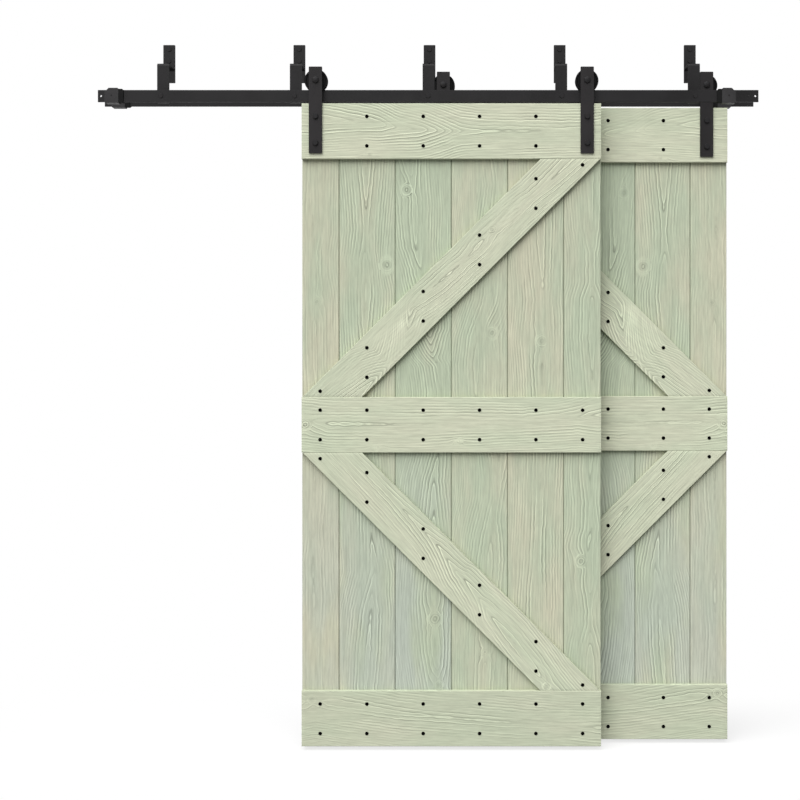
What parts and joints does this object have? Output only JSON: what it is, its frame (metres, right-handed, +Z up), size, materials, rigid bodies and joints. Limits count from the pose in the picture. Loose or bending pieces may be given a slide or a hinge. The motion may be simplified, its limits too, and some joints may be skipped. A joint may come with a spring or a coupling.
{
  "type": "sliding barn door",
  "caption": "Bypass sliding barn door: braced wooden leaves on grooved wheels that roll along a double flat track held by wall brackets.",
  "frame": {"origin": "on the wall plane, on the centreline of the tracks, at the middle bracket and its track lag screw", "axes": "+Z up, +X to the right along the tracks, +Y into the wall; the room is on the -Y side"},
  "size_m": [2.2, 0.1969, 2.358],
  "materials": {
    "track_coat": "satin black powder coat",
    "hanger_coat": "satin black powder coat",
    "fastener_coat": "black oxide, satin",
    "screw_coat": "black, satin",
    "stop_rubber": "matt",
    "wheel_nylon": "matt",
    "bearing_steel": "ground",
    "sage_planks": "matt sage wash over open grain",
    "sage_boards": "matt sage wash over open grain"
  },
  "bodies": {
    "frame": {"front_track": "track_coat", "back_track": "track_coat", "bracket_1": "track_coat", "bracket_2": "track_coat", "bracket_3": "track_coat", "bracket_4": "track_coat", "bracket_5": "track_coat", "front_track_spacers": "track_coat", "back_track_spacers": "track_coat", "lag_screws": "fastener_coat", "front_track_bolts": "fastener_coat", "front_track_nuts": "fastener_coat", "end_stops": "track_coat", "stop_bumpers": "stop_rubber", "stop_set_screws": "fastener_coat"},
    "front_leaf": {"front_plank_1": "sage_planks", "front_plank_2": "sage_planks", "front_plank_3": "sage_planks", "front_plank_4": "sage_planks", "front_plank_5": "sage_planks", "front_plank_6": "sage_planks", "front_top_board": "sage_boards", "front_middle_board": "sage_boards", "front_bottom_board": "sage_boards", "front_upper_brace": "sage_boards", "front_lower_brace": "sage_boards", "front_leaf_screws": "screw_coat", "front_left_strap": "hanger_coat", "front_right_strap": "hanger_coat", "front_strap_bolts": "fastener_coat", "front_hanger_nuts": "fastener_coat", "front_axle_bolts": "fastener_coat", "front_axle_sleeves": "fastener_coat"},
    "back_leaf": {"back_plank_1": "sage_planks", "back_plank_2": "sage_planks", "back_plank_3": "sage_planks", "back_plank_4": "sage_planks", "back_plank_5": "sage_planks", "back_plank_6": "sage_planks", "back_top_board": "sage_boards", "back_middle_board": "sage_boards", "back_bottom_board": "sage_boards", "back_upper_brace": "sage_boards", "back_lower_brace": "sage_boards", "back_leaf_screws": "screw_coat", "back_left_strap": "hanger_coat", "back_right_strap": "hanger_coat", "back_strap_bolts": "fastener_coat", "back_hanger_nuts": "fastener_coat", "back_axle_bolts": "fastener_coat", "back_axle_sleeves": "fastener_coat"},
    "front_left_wheel_set": {"front_left_wheel": "wheel_nylon", "front_left_bearing": "bearing_steel"},
    "front_right_wheel_set": {"front_right_wheel": "wheel_nylon", "front_right_bearing": "bearing_steel"},
    "back_left_wheel_set": {"back_left_wheel": "wheel_nylon", "back_left_bearing": "bearing_steel"},
    "back_right_wheel_set": {"back_right_wheel": "wheel_nylon", "back_right_bearing": "bearing_steel"}
  },
  "joints": [
    {"name": "front_leaf_slide", "type": "slide", "parent": "frame", "child": "front_leaf", "axis": [1, 0, 0], "range_m": [-0.617, 0.4098]},
    {"name": "back_leaf_slide", "type": "slide", "parent": "frame", "child": "back_leaf", "axis": [1, 0, 0], "range_m": [-1.0388, 0]},
    {"name": "front_left_wheel_spin", "type": "hinge", "parent": "front_leaf", "child": "front_left_wheel_set", "pos_m": [-0.37293, -0.112, 0.0498], "axis": [0, 1, 0], "range_deg": [-1200, 800]},
    {"name": "front_right_wheel_spin", "type": "hinge", "parent": "front_leaf", "child": "front_right_wheel_set", "pos_m": [0.52807, -0.112, 0.0498], "axis": [0, 1, 0], "range_deg": [-1200, 800]},
    {"name": "back_left_wheel_spin", "type": "hinge", "parent": "back_leaf", "child": "back_left_wheel_set", "pos_m": [0.04893, -0.036, 0.0498], "axis": [0, 1, 0], "range_deg": [-2020, 0]},
    {"name": "back_right_wheel_spin", "type": "hinge", "parent": "back_leaf", "child": "back_right_wheel_set", "pos_m": [0.93793, -0.036, 0.0498], "axis": [0, 1, 0], "range_deg": [-2020, 0]}
  ],
  "couplings": [
    {"joint": "front_left_wheel_spin", "follows": "front_leaf_slide", "rad_per_m": 33.898},
    {"joint": "front_right_wheel_spin", "follows": "front_leaf_slide", "rad_per_m": 33.898},
    {"joint": "back_left_wheel_spin", "follows": "back_leaf_slide", "rad_per_m": 33.898},
    {"joint": "back_right_wheel_spin", "follows": "back_leaf_slide", "rad_per_m": 33.898}
  ]
}
